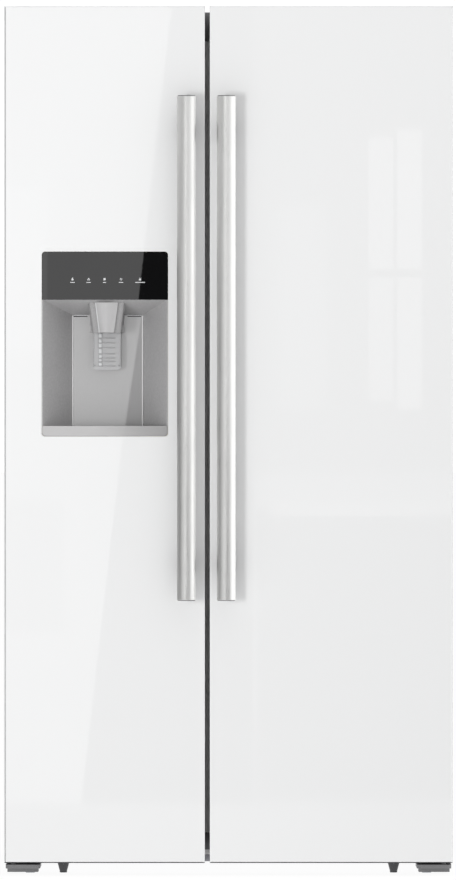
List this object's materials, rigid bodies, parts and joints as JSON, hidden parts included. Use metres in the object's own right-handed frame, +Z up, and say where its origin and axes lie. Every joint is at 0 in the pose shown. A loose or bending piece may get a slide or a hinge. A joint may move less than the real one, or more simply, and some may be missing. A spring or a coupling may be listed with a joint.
{
  "type": "side by side refrigerator",
  "caption": "Tall side by side refrigerator-freezer with two white glass doors, long vertical bar handles and an ice and water dispenser in the narrower left door.",
  "frame": {"origin": "on the floor, under the middle of the bounding box", "axes": "+X to the viewer's right as seen from the front, +Y to the back, +Z up; the doors face -Y"},
  "size_m": [0.91, 0.7239, 1.766],
  "materials": {
    "cabinet_shell": "silver grey satin paint",
    "rear_panel": "plain coated sheet",
    "base_plate": "grey coated sheet",
    "front_frame": "grey satin paint",
    "cabinet_insulation": "rigid foam",
    "freezer_liner": "white satin",
    "fridge_liner": "white satin",
    "machine_cover": "fine grain",
    "water_valve": "moulded",
    "cord_gland": "matte",
    "compressor": "black gloss enamel",
    "hinge_brackets": "grey satin paint",
    "hinge_covers": "grey fine grain",
    "rear_roller_brackets": "zinc plated",
    "shelf_supports": "white satin",
    "evaporator": "mill",
    "evaporator_cover": "white satin",
    "air_duct": "white satin",
    "interior_lamps": "frosted",
    "ice_maker": "moulded",
    "freezer_shelf_1": "tempered glass",
    "freezer_shelf_2": "tempered glass",
    "freezer_shelf_3": "tempered glass",
    "fridge_shelf_1": "tempered glass",
    "fridge_shelf_2": "tempered glass",
    "fridge_shelf_3": "tempered glass",
    "fridge_shelf_4": "tempered glass",
    "front_rollers": "moulded nylon",
    "rear_rollers": "moulded nylon",
    "levelling_foot_left": "moulded",
    "levelling_foot_right": "moulded",
    "freezer_drawer_1": "clear smoked",
    "freezer_drawer_2": "clear smoked",
    "crisper_drawer_1": "clear",
    "crisper_drawer_2": "clear",
    "ice_bin": "clear",
    "left_door_glass": "white back-painted, polished",
    "left_door_skin": "dark grey satin",
    "left_door_end_caps": "dark grey satin",
    "left_door_foam": "rigid foam",
    "left_door_liner": "white satin",
    "left_door_gasket": "matte",
    "left_door_bins": "clear",
    "left_handle": "brushed",
    "left_handle_mounts": "satin",
    "dispenser_housing": "silver grey satin",
    "dispenser_panel": "black gloss",
    "dispenser_spout": "grey gloss",
    "dispenser_paddle": "translucent grey",
    "ice_flap": "moulded",
    "drip_tray": "brushed silver",
    "right_door_glass": "white back-painted, polished",
    "right_door_skin": "dark grey satin",
    "right_door_end_caps": "dark grey satin",
    "right_door_foam": "rigid foam",
    "right_door_liner": "white satin",
    "right_door_gasket": "matte",
    "right_door_bins": "clear",
    "right_handle": "brushed",
    "right_handle_mounts": "satin"
  },
  "bodies": {
    "cabinet": {"cabinet_shell": "cabinet_shell", "rear_panel": "rear_panel", "base_plate": "base_plate", "front_frame": "front_frame", "cabinet_insulation": "cabinet_insulation", "freezer_liner": "freezer_liner", "fridge_liner": "fridge_liner", "machine_cover": "machine_cover", "water_valve": "water_valve", "cord_gland": "cord_gland", "compressor": "compressor", "hinge_brackets": "hinge_brackets", "hinge_covers": "hinge_covers", "rear_roller_brackets": "rear_roller_brackets", "shelf_supports": "shelf_supports", "evaporator": "evaporator", "evaporator_cover": "evaporator_cover", "air_duct": "air_duct", "interior_lamps": "interior_lamps", "ice_maker": "ice_maker", "freezer_shelf_1": "freezer_shelf_1", "freezer_shelf_2": "freezer_shelf_2", "freezer_shelf_3": "freezer_shelf_3", "fridge_shelf_1": "fridge_shelf_1", "fridge_shelf_2": "fridge_shelf_2", "fridge_shelf_3": "fridge_shelf_3", "fridge_shelf_4": "fridge_shelf_4"},
    "freezer_door": {"left_door_glass": "left_door_glass", "left_door_skin": "left_door_skin", "left_door_end_caps": "left_door_end_caps", "left_door_foam": "left_door_foam", "left_door_liner": "left_door_liner", "left_door_gasket": "left_door_gasket", "left_door_bins": "left_door_bins", "left_handle": "left_handle", "left_handle_mounts": "left_handle_mounts", "dispenser_housing": "dispenser_housing", "dispenser_panel": "dispenser_panel", "dispenser_spout": "dispenser_spout"},
    "fridge_door": {"right_door_glass": "right_door_glass", "right_door_skin": "right_door_skin", "right_door_end_caps": "right_door_end_caps", "right_door_foam": "right_door_foam", "right_door_liner": "right_door_liner", "right_door_gasket": "right_door_gasket", "right_door_bins": "right_door_bins", "right_handle": "right_handle", "right_handle_mounts": "right_handle_mounts"},
    "dispenser_paddle": {"dispenser_paddle": "dispenser_paddle"},
    "ice_flap": {"ice_flap": "ice_flap"},
    "drip_tray": {"drip_tray": "drip_tray"},
    "ice_bin": {"ice_bin": "ice_bin"},
    "freezer_drawer_1": {"freezer_drawer_1": "freezer_drawer_1"},
    "freezer_drawer_2": {"freezer_drawer_2": "freezer_drawer_2"},
    "crisper_drawer_1": {"crisper_drawer_1": "crisper_drawer_1"},
    "crisper_drawer_2": {"crisper_drawer_2": "crisper_drawer_2"},
    "front_rollers": {"front_rollers": "front_rollers"},
    "rear_rollers": {"rear_rollers": "rear_rollers"},
    "levelling_foot_left": {"levelling_foot_left": "levelling_foot_left"},
    "levelling_foot_right": {"levelling_foot_right": "levelling_foot_right"}
  },
  "joints": [
    {"name": "freezer_door_swing", "type": "hinge", "parent": "cabinet", "child": "freezer_door", "pos_m": [-0.437, -0.29, 0.896], "axis": [0, 0, -1], "range_deg": [0, 120]},
    {"name": "fridge_door_swing", "type": "hinge", "parent": "cabinet", "child": "fridge_door", "pos_m": [0.437, -0.29, 0.896], "axis": [0, 0, 1], "range_deg": [0, 120]},
    {"name": "paddle_push", "type": "hinge", "parent": "freezer_door", "child": "dispenser_paddle", "pos_m": [-0.248, -0.25, 1.112], "axis": [1, 0, 0], "range_deg": [0, 10], "stiffness_Nm_per_rad": 0.6, "springref_deg": -14.32},
    {"name": "ice_flap_swing", "type": "hinge", "parent": "freezer_door", "child": "ice_flap", "pos_m": [-0.248, -0.257, 1.14], "axis": [1, 0, 0], "range_deg": [0, 40], "stiffness_Nm_per_rad": 0.02, "springref_deg": -22.92},
    {"name": "drip_tray_slide", "type": "slide", "parent": "freezer_door", "child": "drip_tray", "axis": [0, -1, 0], "range_m": [0, 0.06]},
    {"name": "freezer_drawer_1_slide", "type": "slide", "parent": "cabinet", "child": "freezer_drawer_1", "axis": [0, -1, 0], "range_m": [0, 0.08]},
    {"name": "freezer_drawer_2_slide", "type": "slide", "parent": "cabinet", "child": "freezer_drawer_2", "axis": [0, -1, 0], "range_m": [0, 0.08]},
    {"name": "crisper_drawer_1_slide", "type": "slide", "parent": "cabinet", "child": "crisper_drawer_1", "axis": [0, -1, 0], "range_m": [0, 0.08]},
    {"name": "crisper_drawer_2_slide", "type": "slide", "parent": "cabinet", "child": "crisper_drawer_2", "axis": [0, -1, 0], "range_m": [0, 0.08]},
    {"name": "ice_bin_slide", "type": "slide", "parent": "cabinet", "child": "ice_bin", "axis": [0, -1, 0], "range_m": [0, 0.015]},
    {"name": "front_rollers_spin", "type": "hinge", "parent": "cabinet", "child": "front_rollers", "pos_m": [0, -0.232, 0.0116], "axis": [1, 0, 0], "continuous": true},
    {"name": "rear_rollers_spin", "type": "hinge", "parent": "cabinet", "child": "rear_rollers", "pos_m": [0, 0.29, 0.011], "axis": [1, 0, 0], "continuous": true},
    {"name": "levelling_foot_left_turn", "type": "hinge", "parent": "cabinet", "child": "levelling_foot_left", "pos_m": [-0.338, -0.215, 0], "axis": [0, 0, 1], "continuous": true},
    {"name": "levelling_foot_right_turn", "type": "hinge", "parent": "cabinet", "child": "levelling_foot_right", "pos_m": [0.338, -0.215, 0], "axis": [0, 0, 1], "continuous": true}
  ],
  "couplings": [
    {"joint": "ice_flap_swing", "follows": "paddle_push", "ratio": 4}
  ]
}
